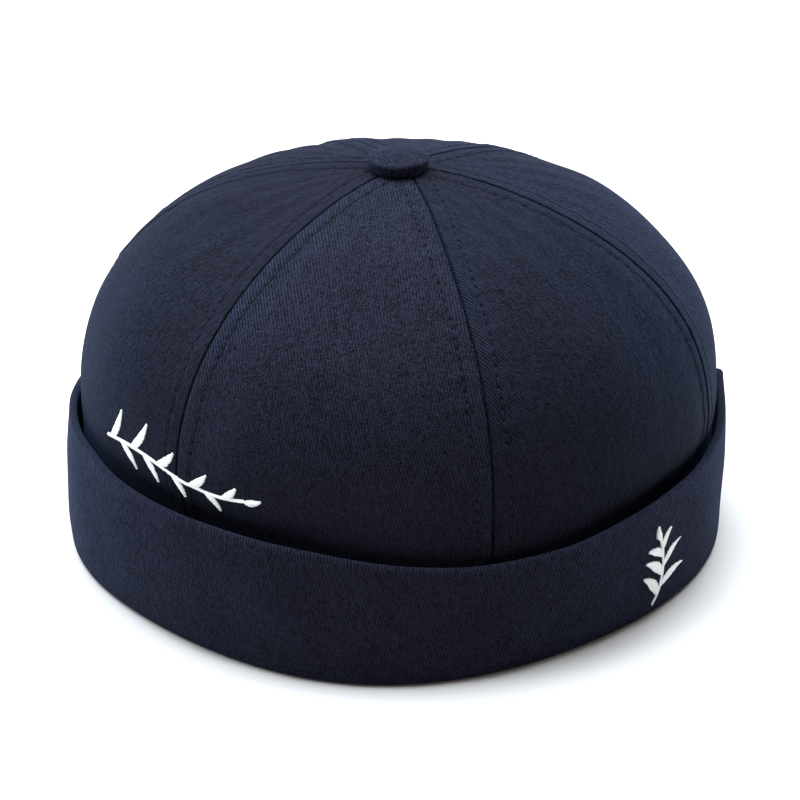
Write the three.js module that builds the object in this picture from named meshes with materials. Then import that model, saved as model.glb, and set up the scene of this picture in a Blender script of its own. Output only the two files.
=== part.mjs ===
// A docker cap: six sewn gores, a covered button and a turned-up cuff, resting on its fold.
// Millimetres, +Z up. The front seam faces -Y, and the origin is under the middle of the cap,
// at the surface that it rests on. A turn is an angle about +Z from the front towards +X.
import * as THREE from 'three';

// ---- Driving dimensions -------------------------------------------------------------------

const CLOTH_GAP = 0.3; // clearance between neighbouring pieces

const CROWN_TOP = 113; // apex of the crown, under the button
const CROWN_WIDEST = 37; // level where the crown is widest
const CROWN_WALL = 1.5; // twill with its fused backing
const CROWN_TOE = 2.5; // lower edge of the gores, in the cuff's channel
const CROWN_TOE_INSET = 2.5; // how far the gores lean in down to that edge
const CROWN_BULGE_OUT = 1.8; // exponent of the dome's profile, outward
const CROWN_BULGE_UP = 2.75; // exponent of the dome's profile, upward
const CROWN_EYE = 6; // radius of the opening that the gores leave at the apex

const CUFF_WALL = 2.4; // two layers of cloth and the air between them
const CUFF_BELLY = 0.6; // how far the cuff stands out halfway up
const FOLD_ROUND = 2; // rounding of the fold that the cap rests on
const CHANNEL_FLOOR = CROWN_TOE - CLOTH_GAP;
const HEM_WALL = 1.2; // single turned hem inside the crown
const HEM_TOP = 14; // upper edge of that hem
const HEM_CLEARANCE = 0.4; // between the hem and the gores' inner faces

const BUTTON_RADIUS = 9;
const BUTTON_HEIGHT = 5.4; // above the crown
const BUTTON_EDGE = 1.1; // radius of the button's rolled edge
const SHANK_CLEARANCE = 0.4; // between the button's shank and the crown's eye

// The seams between the gores, as turns in degrees. They are sewn a little unevenly.
const SEAM_TURNS = [0, 57, 124, 184, 239, 303];

// The cap's plan, at equal turns: the crown's widest radius, the cuff's outer radius at its
// rim and at its lower fold, and the height of the rim.
const SECTIONS = [
  { turn: 0, crown: 92.0, rim: 96.0, fold: 96.0, height: 34.4 },
  { turn: 30, crown: 92.0, rim: 96.0, fold: 93.0, height: 38.0 },
  { turn: 60, crown: 93.0, rim: 96.0, fold: 95.0, height: 39.2 },
  { turn: 90, crown: 93.1, rim: 96.3, fold: 96.0, height: 42.0 },
  { turn: 120, crown: 91.5, rim: 96.0, fold: 96.0, height: 40.0 },
  { turn: 150, crown: 89.5, rim: 96.0, fold: 95.5, height: 39.0 },
  { turn: 180, crown: 90.0, rim: 96.0, fold: 95.5, height: 38.5 },
  { turn: 210, crown: 92.0, rim: 96.0, fold: 96.0, height: 38.5 },
  { turn: 240, crown: 93.5, rim: 96.5, fold: 96.0, height: 40.0 },
  { turn: 270, crown: 92.7, rim: 96.3, fold: 96.5, height: 42.0 },
  { turn: 300, crown: 93.2, rim: 96.3, fold: 95.0, height: 40.8 },
  { turn: 330, crown: 92.5, rim: 96.5, fold: 98.5, height: 38.8 },
];

// ---- Fineness of the faceted solids -------------------------------------------------------

const GORE_COLUMNS = 12;
const DOME_ROWS = 11; // rows of a gore from the eye to the widest level
const SKIRT_ROWS = 3; // rows from there to the lower edge
const CUFF_STATIONS = 72;
const CUFF_LEG_ROWS = 5;
const ARC_STEPS = 4;
const BUTTON_SEGMENTS = 32;

// ---- Materials ----------------------------------------------------------------------------

const NAVY = 0x2b2f47;

function twill() {
  return new THREE.MeshStandardMaterial({ color: NAVY, roughness: 0.9, metalness: 0 });
}

// ---- Plan and profile ---------------------------------------------------------------------

// A column of SECTIONS at any turn, by the smooth periodic curve through its rows.
function around(column, turn) {
  const rows = SECTIONS.length;
  let sum = 0;
  for (const row of SECTIONS) {
    const offset = turn - THREE.MathUtils.degToRad(row.turn);
    let weight = 1 + Math.cos((rows / 2) * offset);
    for (let wave = 1; wave < rows / 2; wave += 1) {
      weight += 2 * Math.cos(wave * offset);
    }
    sum += (row[column] * weight) / rows;
  }
  return sum;
}

// A point at a radius and height in the direction of a turn.
function polar(turn, radius, height) {
  return new THREE.Vector3(radius * Math.sin(turn), -radius * Math.cos(turn), height);
}

// Height of the crown's outer face near the apex, at a radius, by the dome's superellipse.
function domeHeight(radius) {
  const outward = (radius / around('crown', 0)) ** CROWN_BULGE_OUT;
  return CROWN_WIDEST + (CROWN_TOP - CROWN_WIDEST) * (1 - outward) ** (1 / CROWN_BULGE_UP);
}

// Radius of the crown's outer face below its widest level.
function skirtRadius(turn, height) {
  const depth = (CROWN_WIDEST - height) / (CROWN_WIDEST - CROWN_TOE);
  return around('crown', turn) - CROWN_TOE_INSET * depth * depth;
}

// The crown's outer face. The share runs 0 to 1 from the eye down to the widest level, along
// a superellipse, and 1 to 2 from there to the lower edge.
function crownPoint(turn, share) {
  if (share > 1) {
    const height = THREE.MathUtils.lerp(CROWN_WIDEST, CROWN_TOE, share - 1);
    return polar(turn, skirtRadius(turn, height), height);
  }
  const widest = around('crown', turn);
  const start = Math.asin((CROWN_EYE / widest) ** (CROWN_BULGE_OUT / 2));
  const angle = THREE.MathUtils.lerp(start, Math.PI / 2, share);
  const radius = widest * Math.sin(angle) ** (2 / CROWN_BULGE_OUT);
  const rise = Math.max(Math.cos(angle), 0) ** (2 / CROWN_BULGE_UP);
  return polar(turn, radius, CROWN_WIDEST + (CROWN_TOP - CROWN_WIDEST) * rise);
}

// The outward normal of the crown's outer face, from four points close by.
function crownNormal(turn, share) {
  const step = 1e-3;
  const upper = Math.max(share - step, 0);
  const lower = Math.min(share + step, 2);
  const across = crownPoint(turn + step, share).sub(crownPoint(turn - step, share));
  const down = crownPoint(turn, lower).sub(crownPoint(turn, upper));
  return down.cross(across).normalize();
}

// ---- Solids from grids --------------------------------------------------------------------

// A closed body from a list of points and a list of quads that turn anticlockwise outside.
function solid(points, quads) {
  const geometry = new THREE.BufferGeometry().setFromPoints(points);
  geometry.setIndex(quads.flatMap(([a, b, c, d]) => [a, b, c, a, c, d]));
  geometry.computeVertexNormals();
  return geometry;
}

// A gore between two seams: its outer face, its inner face one wall below, and four edges.
function gore(seamTurn, nextSeamTurn) {
  const rows = DOME_ROWS + SKIRT_ROWS;
  const outer = [];
  const inner = [];
  for (let row = 0; row <= rows; row += 1) {
    const share = row <= DOME_ROWS ? row / DOME_ROWS : 1 + (row - DOME_ROWS) / SKIRT_ROWS;
    for (let column = 0; column <= GORE_COLUMNS; column += 1) {
      const seamPoint = crownPoint(seamTurn, share);
      const inset = CLOTH_GAP / 2 / Math.hypot(seamPoint.x, seamPoint.y);
      const start = seamTurn + inset;
      const turn = THREE.MathUtils.lerp(start, nextSeamTurn - inset, column / GORE_COLUMNS);
      const point = crownPoint(turn, share);
      outer.push(point);
      inner.push(point.clone().addScaledVector(crownNormal(turn, share), -CROWN_WALL));
    }
  }
  const width = GORE_COLUMNS + 1;
  const under = outer.length;
  const at = (row, column) => row * width + column;
  const quads = [];
  for (let row = 0; row < rows; row += 1) {
    for (let column = 0; column < GORE_COLUMNS; column += 1) {
      const corners = [at(row, column), at(row + 1, column), at(row + 1, column + 1), at(row, column + 1)];
      quads.push(corners);
      quads.push(corners.map((corner) => corner + under).reverse());
    }
    const last = GORE_COLUMNS;
    quads.push([at(row, 0), at(row, 0) + under, at(row + 1, 0) + under, at(row + 1, 0)]);
    quads.push([at(row + 1, last), at(row + 1, last) + under, at(row, last) + under, at(row, last)]);
  }
  for (let column = 0; column < GORE_COLUMNS; column += 1) {
    const next = column + 1;
    quads.push([at(0, next), at(0, next) + under, at(0, column) + under, at(0, column)]);
    quads.push([at(rows, column), at(rows, column) + under, at(rows, next) + under, at(rows, next)]);
  }
  return solid([...outer, ...inner], quads);
}

// The cuff's section at a turn, as radius and height, anticlockwise with the radius to the
// right: fold, outer face, rolled rim, inner face, channel for the gores, and inner hem.
function cuffSection(turn) {
  const rim = around('rim', turn);
  const fold = around('fold', turn);
  const roll = CUFF_WALL / 2;
  const rollHeight = around('height', turn) - roll;
  const hemFace = (height) => skirtRadius(turn, height) - CROWN_WALL - HEM_CLEARANCE;
  const points = [[hemFace(0) - HEM_WALL / 2, 0]];
  for (let step = 0; step <= ARC_STEPS; step += 1) {
    const angle = (step / ARC_STEPS) * (Math.PI / 2);
    points.push([
      fold - FOLD_ROUND + FOLD_ROUND * Math.sin(angle),
      FOLD_ROUND - FOLD_ROUND * Math.cos(angle),
    ]);
  }
  for (let row = 1; row < CUFF_LEG_ROWS; row += 1) {
    const share = row / CUFF_LEG_ROWS;
    const radius = THREE.MathUtils.lerp(fold, rim, share);
    const belly = CUFF_BELLY * Math.sin(Math.PI * share);
    points.push([radius + belly, THREE.MathUtils.lerp(FOLD_ROUND, rollHeight, share)]);
  }
  for (let step = 0; step <= ARC_STEPS; step += 1) {
    const angle = (step / ARC_STEPS) * Math.PI;
    points.push([rim - roll + roll * Math.cos(angle), rollHeight + roll * Math.sin(angle)]);
  }
  points.push([(rim + fold) / 2 - CUFF_WALL, rollHeight / 2]);
  points.push([fold - CUFF_WALL, CHANNEL_FLOOR]);
  points.push([hemFace(CHANNEL_FLOOR), CHANNEL_FLOOR]);
  points.push([hemFace(HEM_TOP), HEM_TOP]);
  points.push([hemFace(HEM_TOP) - HEM_WALL, HEM_TOP]);
  points.push([hemFace(0) - HEM_WALL, HEM_WALL / 2]);
  return points;
}

// The cuff: its section carried once round the cap.
function cuff() {
  const points = [];
  for (let station = 0; station < CUFF_STATIONS; station += 1) {
    const turn = (station / CUFF_STATIONS) * 2 * Math.PI;
    for (const [radius, height] of cuffSection(turn)) {
      points.push(polar(turn, radius, height));
    }
  }
  const loop = points.length / CUFF_STATIONS;
  const quads = [];
  for (let station = 0; station < CUFF_STATIONS; station += 1) {
    const here = station * loop;
    const ahead = ((station + 1) % CUFF_STATIONS) * loop;
    for (let corner = 0; corner < loop; corner += 1) {
      const next = (corner + 1) % loop;
      quads.push([here + corner, ahead + corner, ahead + next, here + next]);
    }
  }
  return solid(points, quads);
}

// The covered button: a shank in the crown's eye, an underside that follows the dome of the
// crown one gap above it, a rolled edge and a low domed top.
function button() {
  const shank = CROWN_EYE - SHANK_CLEARANCE;
  const bottom = domeHeight(shank) - CROWN_WALL;
  const rolledFrom = BUTTON_RADIUS - BUTTON_EDGE;
  const edge = domeHeight(rolledFrom) + CLOTH_GAP;
  const shoulder = edge + BUTTON_EDGE;
  const rise = CROWN_TOP + BUTTON_HEIGHT - shoulder;
  const profile = [
    new THREE.Vector2(0, bottom),
    new THREE.Vector2(shank, bottom),
    new THREE.Vector2(shank, domeHeight(shank) + CLOTH_GAP),
    new THREE.Vector2(rolledFrom, edge),
  ];
  for (let step = 1; step <= ARC_STEPS; step += 1) {
    const angle = (step / ARC_STEPS) * (Math.PI / 2);
    const radius = rolledFrom + BUTTON_EDGE * Math.sin(angle);
    profile.push(new THREE.Vector2(radius, shoulder - BUTTON_EDGE * Math.cos(angle)));
  }
  for (let step = 1; step <= ARC_STEPS; step += 1) {
    const angle = (step / ARC_STEPS) * (Math.PI / 2);
    const radius = step === ARC_STEPS ? 0 : BUTTON_RADIUS * Math.cos(angle);
    profile.push(new THREE.Vector2(radius, shoulder + rise * Math.sin(angle)));
  }
  return new THREE.LatheGeometry(profile, BUTTON_SEGMENTS).rotateX(Math.PI / 2);
}

// ---- Assembly -----------------------------------------------------------------------------

const cap = new THREE.Group();

function add(name, geometry) {
  const mesh = new THREE.Mesh(geometry, twill());
  mesh.name = name;
  cap.add(mesh);
}

SEAM_TURNS.forEach((seam, index) => {
  const next = SEAM_TURNS[index + 1] ?? 360;
  const toRadians = THREE.MathUtils.degToRad;
  add(`crown_panel_${index + 1}`, gore(toRadians(seam), toRadians(next)));
});
add('button', button());
add('cuff', cuff());

export default cap;
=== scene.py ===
# %% [markdown]
# # A docker cap in navy twill
# A docker cap is a brimless cap: gores of cotton twill sewn into a deep dome, a covered button
# where their points meet, and a doubled cuff turned up round the edge. The packed model gives
# the pieces, their sizes and their places. This script gives them cloth, seams and stitches.

import bpy
import numpy as np
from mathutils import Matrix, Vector


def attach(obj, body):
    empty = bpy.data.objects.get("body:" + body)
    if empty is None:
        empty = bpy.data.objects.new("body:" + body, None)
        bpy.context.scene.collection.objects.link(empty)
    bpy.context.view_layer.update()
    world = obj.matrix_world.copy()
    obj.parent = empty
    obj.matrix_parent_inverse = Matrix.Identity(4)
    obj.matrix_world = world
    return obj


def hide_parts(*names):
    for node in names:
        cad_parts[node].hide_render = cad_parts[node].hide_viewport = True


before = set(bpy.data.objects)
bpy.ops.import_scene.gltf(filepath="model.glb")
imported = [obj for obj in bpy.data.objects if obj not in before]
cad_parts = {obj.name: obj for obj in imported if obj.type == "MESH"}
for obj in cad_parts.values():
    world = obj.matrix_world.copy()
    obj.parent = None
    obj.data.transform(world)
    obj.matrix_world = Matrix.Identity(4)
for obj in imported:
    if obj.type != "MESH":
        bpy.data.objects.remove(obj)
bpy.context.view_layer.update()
MM = 0.001
TAU = 2 * np.pi
print("frame nodes:", sorted(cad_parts))

# %% [markdown]
# ## Camera
# The camera comes first, because every later decision about detail depends on how near it is.
# A long lens keeps the round plan of the cap round.

# %% Camera
CAMERA_AZIMUTH = -16.15
CAMERA_ELEVATION = 24.7
CAMERA_DISTANCE = 0.90
CAMERA_CENTRE = 60 * MM
LENS_MM = 138.5
AIM_HEIGHT = 39.4 * MM
AIM_ASIDE = 0.6 * MM


def direction(azimuth, elevation):
    """Unit vector towards a place round the cap: azimuth 0 is in front, and 90 is at +X."""
    a, e = np.radians([azimuth, elevation])
    return Vector((np.sin(a) * np.cos(e), -np.cos(a) * np.cos(e), np.sin(e)))


camera = bpy.data.objects.new("camera", bpy.data.cameras.new("camera"))
bpy.context.scene.collection.objects.link(camera)
aim = direction(CAMERA_AZIMUTH + 90, 0) * AIM_ASIDE + Vector((0, 0, AIM_HEIGHT))
away = direction(CAMERA_AZIMUTH, CAMERA_ELEVATION)
camera.location = Vector((0, 0, CAMERA_CENTRE)) + away * CAMERA_DISTANCE
camera.rotation_euler = (aim - camera.location).to_track_quat("-Z", "Y").to_euler()
camera.data.lens = LENS_MM
camera.data.clip_end = 100
bpy.context.scene.camera = camera
print("camera", round(camera.location.length, 3), "m from the origin")

# %% [markdown]
# ## The cap's plan
# A soft cap is never quite round. The frame's own corner points say how wide the crown, the
# rim and the fold are in each direction, so they are read from there and joined by a smooth
# closed curve. The curve is a short sum of waves round the cap, found by least squares.

# %% Read the plan from the frame
CROWN_NODES = [f"crown_panel_{number}" for number in range(1, 7)]
CROWN_TOP = 113 * MM
CROWN_WIDEST = 37 * MM
CROWN_WALL = 1.5 * MM
CUFF_WALL = 2.4 * MM
FOLD_ROUND = 2 * MM
PLAN_WAVES = 5


def node_points(name):
    """Corner points of a node, as turn from the front towards +X, radius and height."""
    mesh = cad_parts[name].data
    flat = np.empty(len(mesh.vertices) * 3)
    mesh.vertices.foreach_get("co", flat)
    x, y, z = flat.reshape(-1, 3).T
    return np.arctan2(x, -y), np.hypot(x, y), z


def outermost(turn, value):
    """One row for each direction: the turn, and the largest value found there."""
    step = np.round(np.degrees(turn), 1)
    order = np.lexsort((value, step))
    last = np.append(step[order][1:] != step[order][:-1], True)
    keep = order[last]
    return turn[keep], value[keep]


def wave_rows(turn):
    """The waves 1, cos kt and sin kt for k up to PLAN_WAVES, and cos of the next, as columns."""
    turn = np.asarray(turn, float)[..., None]
    k = np.arange(1, PLAN_WAVES + 1)
    parts = [np.ones_like(turn), np.cos(k * turn), np.sin(k * turn), np.cos((PLAN_WAVES + 1) * turn)]
    return np.concatenate(parts, axis=-1)


def closed_curve(turn, value):
    """A smooth closed curve through values round the cap, as a function of the turn."""
    weights = np.linalg.lstsq(wave_rows(turn), value, rcond=None)[0]
    return lambda t: wave_rows(t) @ weights


def curve_at_level(points, low, high):
    """The closed curve of the outermost radius between two heights."""
    turn, radius, height = points
    inside = (height > low) & (height < high)
    return closed_curve(*outermost(turn[inside], radius[inside]))


crown_points = [np.concatenate(parts) for parts in zip(*(node_points(name) for name in CROWN_NODES))]
cuff_points = node_points("cuff")
EPS = 0.05 * MM
crown_radius = curve_at_level(crown_points, CROWN_WIDEST - EPS, CROWN_WIDEST + EPS)
fold_radius = curve_at_level(cuff_points, FOLD_ROUND - EPS, FOLD_ROUND + EPS)
rim_height = closed_curve(*outermost(cuff_points[0], cuff_points[2]))
roll_level = rim_height(cuff_points[0]) - CUFF_WALL / 2
at_roll = np.abs(cuff_points[2] - roll_level) < EPS
rim_radius = closed_curve(*outermost(cuff_points[0][at_roll], cuff_points[1][at_roll]))
front = [float(curve(0.0)) for curve in (crown_radius, rim_radius, fold_radius, rim_height)]
print("radii of crown, rim and fold and the rim's height at the front, mm:", np.round(front, 5) / MM)

# %% Read the seams from the frame
def wrapped(turn):
    """The same turn, brought between half a turn back and half a turn on."""
    return (turn + np.pi) % TAU - np.pi


def seam_turns():
    """The turn of each seam, halfway between the edges of the two gores that meet there."""
    edges = []
    for name in CROWN_NODES:
        turn, _, height = node_points(name)
        wide = turn[np.abs(height - CROWN_WIDEST) < EPS]
        middle = np.arctan2(np.sin(wide).sum(), np.cos(wide).sum())
        spread = wrapped(wide - middle)
        edges.append((middle + spread.min(), middle + spread.max()))
    starts = []
    for index, (start, _) in enumerate(edges):
        starts.append(start - wrapped(start - edges[index - 1][1]) / 2)
    starts = np.array(starts)
    return starts, starts + (np.roll(starts, -1) - starts) % TAU


SEAM_START, SEAM_STOP = seam_turns()
print("gores start and stop at, degrees:", np.round(np.degrees([SEAM_START, SEAM_STOP]), 1).tolist())

# %% [markdown]
# ## The crown's smooth form
# The dome is a superellipse swung round the cap: a share of the widest radius against a share
# of the height. Below the widest level the cloth leans in a little to the fold. A meridian is
# measured by its length from the apex, because cloth, stitches and seams are laid out by length.

# %% The meridian
BULGE_OUT = 1.8
BULGE_UP = 2.75
TOE_HEIGHT = 2.5 * MM
TOE_INSET = 2.5 * MM
EYE_RADIUS = 4.5 * MM
DOME_STEPS = 3000
SKIRT_STEPS = 400


def meridian_table():
    """Length from the apex, share of the widest radius, lean and height, down a meridian."""
    angle = np.linspace(0, np.pi / 2, DOME_STEPS)
    share = np.sin(angle) ** (2 / BULGE_OUT)
    height = CROWN_WIDEST + (CROWN_TOP - CROWN_WIDEST) * np.cos(angle) ** (2 / BULGE_UP)
    down = np.linspace(0, 1, SKIRT_STEPS)[1:]
    share = np.append(share, np.ones_like(down))
    height = np.append(height, CROWN_WIDEST + (TOE_HEIGHT - CROWN_WIDEST) * down)
    lean = np.append(np.zeros(len(angle)), TOE_INSET * down**2)
    radius = share * crown_radius(0.0) - lean
    length = np.append(0, np.cumsum(np.hypot(np.diff(radius), np.diff(height))))
    return length, share, lean, height


MERIDIAN = meridian_table()
MERIDIAN_LENGTH = MERIDIAN[0][-1]
EYE_LENGTH = np.interp(EYE_RADIUS / crown_radius(0.0), *(MERIDIAN[row][:DOME_STEPS] for row in (1, 0)))


def crown_base(turn, along):
    """Radius and height of the smooth crown at a turn and a length down from the apex."""
    share, lean, height = (np.interp(along, MERIDIAN[0], column) for column in MERIDIAN[1:])
    return crown_radius(turn) * share - lean, height


def cylindrical(turn, radius, height):
    """Points at a turn from the front, a radius and a height, with x, y, z as the last axis."""
    parts = np.broadcast_arrays(radius * np.sin(turn), -radius * np.cos(turn), height)
    return np.stack(parts, axis=-1)


def unit(vectors):
    """The same vectors at length 1."""
    return vectors / np.maximum(np.linalg.norm(vectors, axis=-1, keepdims=True), 1e-12)


def smooth_crown(turn, along):
    """Points of the smooth crown and its outward normals, from two small steps."""
    step = 0.2 * MM
    radius, height = crown_base(turn, along)
    aside = step / np.maximum(radius, EYE_RADIUS)
    after, before = (cylindrical(t, *crown_base(t, along)) for t in (turn + aside, turn - aside))
    below, above = (cylindrical(turn, *crown_base(turn, s)) for s in (along + step, along - step))
    return cylindrical(turn, radius, height), unit(np.cross(below - above, after - before))


print("meridian length, mm:", round(MERIDIAN_LENGTH / MM, 1))

# %% [markdown]
# ## From a grid to cloth
# Every cloth piece here is one sheet with a face side and a wrong side. Both are grids of the
# same size, and thin bands close the edges between them, so each piece is a watertight shell
# like the real layer. The face side carries the folds and the stitched relief, while the wrong
# side is plain and only follows where the cloth is pressed in deep.

# %% Grid helpers
def grid_corners(rows, columns, closed):
    """The four (row, column) corners of each face of a grid, turning down first, then across."""
    i, j = np.indices((rows - 1, columns if closed else columns - 1)).reshape(2, -1)
    return np.stack([i, i + 1, i + 1, i], 1), np.stack([j, j, j + 1, j + 1], 1)


def fan_corners(columns):
    """Three corners of each face between a ring and its pole, which takes two steps of the ring."""
    ring = np.arange(0, columns, 2)
    return np.stack([ring, ring + 1, (ring + 2) % columns], 1)


def make_piece(name, points, faces, uv=None, material=None, **attributes):
    """A smooth-shaded mesh object from points and four-cornered faces.

    uv has a row for each corner of each face, and an attribute has a value for each point.
    """
    mesh = bpy.data.meshes.new(name)
    mesh.vertices.add(len(points))
    mesh.vertices.foreach_set("co", np.ascontiguousarray(points, np.float32).ravel())
    mesh.loops.add(faces.size)
    mesh.loops.foreach_set("vertex_index", np.ascontiguousarray(faces, np.int32).ravel())
    mesh.polygons.add(len(faces))
    mesh.polygons.foreach_set("loop_start", np.arange(0, faces.size, faces.shape[1], dtype=np.int32))
    mesh.update(calc_edges=True)
    mesh.shade_smooth()
    if uv is not None:
        layer = mesh.uv_layers.new(name="cloth")
        layer.data.foreach_set("uv", np.ascontiguousarray(uv, np.float32).ravel())
    for key, values in attributes.items():
        layer = mesh.attributes.new(key, "FLOAT", "POINT")
        layer.data.foreach_set("value", np.ascontiguousarray(values, np.float32).ravel())
    piece = bpy.data.objects.new(name, mesh)
    bpy.context.scene.collection.objects.link(piece)
    if material is not None:
        mesh.materials.append(material)
    return piece


def make_shell(name, face, wrong, uv, closed=False, material=None, **attributes):
    """A sheet from its face side, its wrong side and the UV of each grid point.

    Both sides are grids of points, rows running down and columns across. With closed, the last
    column joins the first one, and uv has one column more than the points, so that the weave
    runs on across the join.
    """
    rows, columns = face.shape[:2]
    i, j = grid_corners(rows, columns, closed)
    wrap = columns if closed else columns + 1
    outside = i * columns + j % wrap
    count = rows * columns
    faces, corners = [outside, outside[:, ::-1] + count], [(i, j), (i[:, ::-1], j[:, ::-1])]

    def band(i, j):
        """Close an edge: from face to wrong side along a row of (row, column) steps."""
        edge = i * columns + j % wrap
        faces.append(np.stack([edge[:-1], edge[1:], edge[1:] + count, edge[:-1] + count], 1))
        corners.append(tuple(np.stack([k[:-1], k[1:], k[1:], k[:-1]], 1) for k in (i, j)))

    across, down = np.arange(columns + closed), np.arange(rows)
    band(0 * across, across)
    band(0 * across + rows - 1, across[::-1])
    if not closed:
        band(down[::-1], 0 * down)
        band(down, 0 * down + columns - 1)
    points = np.concatenate([face.reshape(-1, 3), wrong.reshape(-1, 3)])
    corner_uv = np.concatenate([uv[a, b].reshape(-1, 2) for a, b in corners])
    both = {key: np.tile(values.ravel(), 2) for key, values in attributes.items()}
    return make_piece(name, points, np.concatenate(faces), corner_uv, material, **both)


print("faces of a grid of 4 rows and 5 columns:", len(grid_corners(4, 5, False)[0]))

# %% [markdown]
# ## Twill
# Twill is woven so that each warp yarn floats over several picks, and each next yarn starts its
# float a pick later. The floats line up in slanted ridges, the wales. The pattern is built the
# same way: a coordinate across the cloth is snapped to its warp yarn, the yarn's own shift is
# taken off the coordinate along the cloth, and what is left says whether the yarn is up or down.
# It reads the cloth map of each piece, so the wales turn with every gore as they were cut.
# Cotton's loose fibre ends catch light at a glancing angle, which is the shader's sheen. It is
# stronger on the wales than between them, and weaker where the cloth carries painted shade.

# %% Node helpers
class Nodes:
    """A short way to write shader arithmetic: each call adds a node and returns its output."""

    def __init__(self, name):
        self.material = bpy.data.materials.new(name)
        self.material.use_nodes = True
        self.tree = self.material.node_tree
        self.shader = self.tree.nodes["Principled BSDF"]

    def put(self, target, value):
        """Link an output to an input, or set the input to a plain value."""
        if isinstance(value, bpy.types.NodeSocket):
            self.tree.links.new(value, target)
        else:
            target.default_value = value

    def add(self, kind, out=0, settings=(), **inputs):
        """A node of a kind, with settings on the node and values or links on its inputs."""
        node = self.tree.nodes.new(kind)
        for key, value in dict(settings).items():
            setattr(node, key, value)
        for key, value in inputs.items():
            self.put(node.inputs[int(key[1:]) if key[1:].isdigit() else key.replace("_", " ")], value)
        return node.outputs[out]

    def math(self, operation, *values):
        """Shader arithmetic on one, two or three values."""
        inputs = {f"i{index}": value for index, value in enumerate(values)}
        return self.add("ShaderNodeMath", settings={"operation": operation}, **inputs)

    def between(self, value, low, high, to_low=0.0, to_high=1.0):
        """A value brought smoothly from one range to another."""
        inputs = {"Value": value, "From_Min": low, "From_Max": high, "To_Min": to_low, "To_Max": to_high}
        return self.add("ShaderNodeMapRange", settings={"interpolation_type": "SMOOTHSTEP"}, **inputs)

    def mix(self, share, low, high):
        """A colour between two colours."""
        inputs = {"Factor": share, "i6": low, "i7": high}
        return self.add("ShaderNodeMix", 2, {"data_type": "RGBA"}, **inputs)

    def noise(self, vector, scale, detail=2.0, roughness=0.5):
        """Soft noise from 0 to 1, of a number of waves to the unit."""
        inputs = {"Vector": vector, "Scale": scale, "Detail": detail, "Roughness": roughness}
        return self.add("ShaderNodeTexNoise", **inputs)

    def place(self):
        """The point's own place on the cap, in metres."""
        return self.add("ShaderNodeTexCoord", "Object")

    def cloth(self):
        """The point's place on the flat cloth."""
        return self.add("ShaderNodeUVMap", settings={"uv_map": "cloth"})

    def value_of(self, attribute):
        """The value that a mesh attribute has at the point."""
        return self.add("ShaderNodeAttribute", 2, {"attribute_name": attribute})

    def part(self, vector, axis):
        """One coordinate of a vector."""
        return self.add("ShaderNodeSeparateXYZ", axis, i0=vector)

    def shade(self, **sockets):
        """Set or link sockets of the shader, with their names written with low lines for spaces."""
        for key, value in sockets.items():
            self.put(self.shader.inputs[key.replace("_", " ")], value)


def rgb(red, green, blue):
    """A colour with full cover, in the light-linear values that shaders use."""
    return (red, green, blue, 1.0)


def darker(colour, share):
    """A share of a colour's light."""
    return rgb(*(share * value for value in colour[:3]))


print("node helpers:", [name for name in vars(Nodes) if name[0] != "_"])

# %% The navy twill
WARP_MM = 0.23
WALE_LEAN = 18.5
PICK_MM = WARP_MM / np.tan(np.radians(WALE_LEAN))
FLOAT_MM = 4 * PICK_MM
SLUB_MM = 0.30
YARN_RELIEF = 0.10 * MM


def twill_floats(n, cloth):
    """How high the yarns stand: a bump along each float times one round each warp yarn.

    A number of its own for each float makes some stand higher, as uneven yarn does.
    """
    slub = n.math("MULTIPLY", n.noise(cloth, 700.0, 1.0), SLUB_MM)
    across = n.math("MULTIPLY_ADD", n.part(cloth, "X"), 1 / MM, slub)
    along = n.math("MULTIPLY", n.part(cloth, "Y"), 1 / MM)
    yarn = n.math("SNAP", across, WARP_MM)
    round_yarn = n.math("SINE", n.math("MULTIPLY", n.math("SUBTRACT", across, yarn), np.pi / WARP_MM))
    floats_along = n.math("DIVIDE", n.math("MULTIPLY_ADD", yarn, -PICK_MM / WARP_MM, along), FLOAT_MM)
    lifted = n.math("SINE", n.math("MULTIPLY", n.math("FRACT", floats_along), np.pi))
    one_float = n.add("ShaderNodeCombineXYZ", X=yarn, Y=n.math("FLOOR", floats_along))
    ply = n.add("ShaderNodeTexWhiteNoise", settings={"noise_dimensions": "2D"}, Vector=one_float)
    floats = n.math("MULTIPLY", lifted, n.math("MULTIPLY_ADD", round_yarn, 0.35, 0.65))
    return n.math("MULTIPLY", floats, n.math("MULTIPLY_ADD", ply, 0.9, 0.55))


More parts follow.
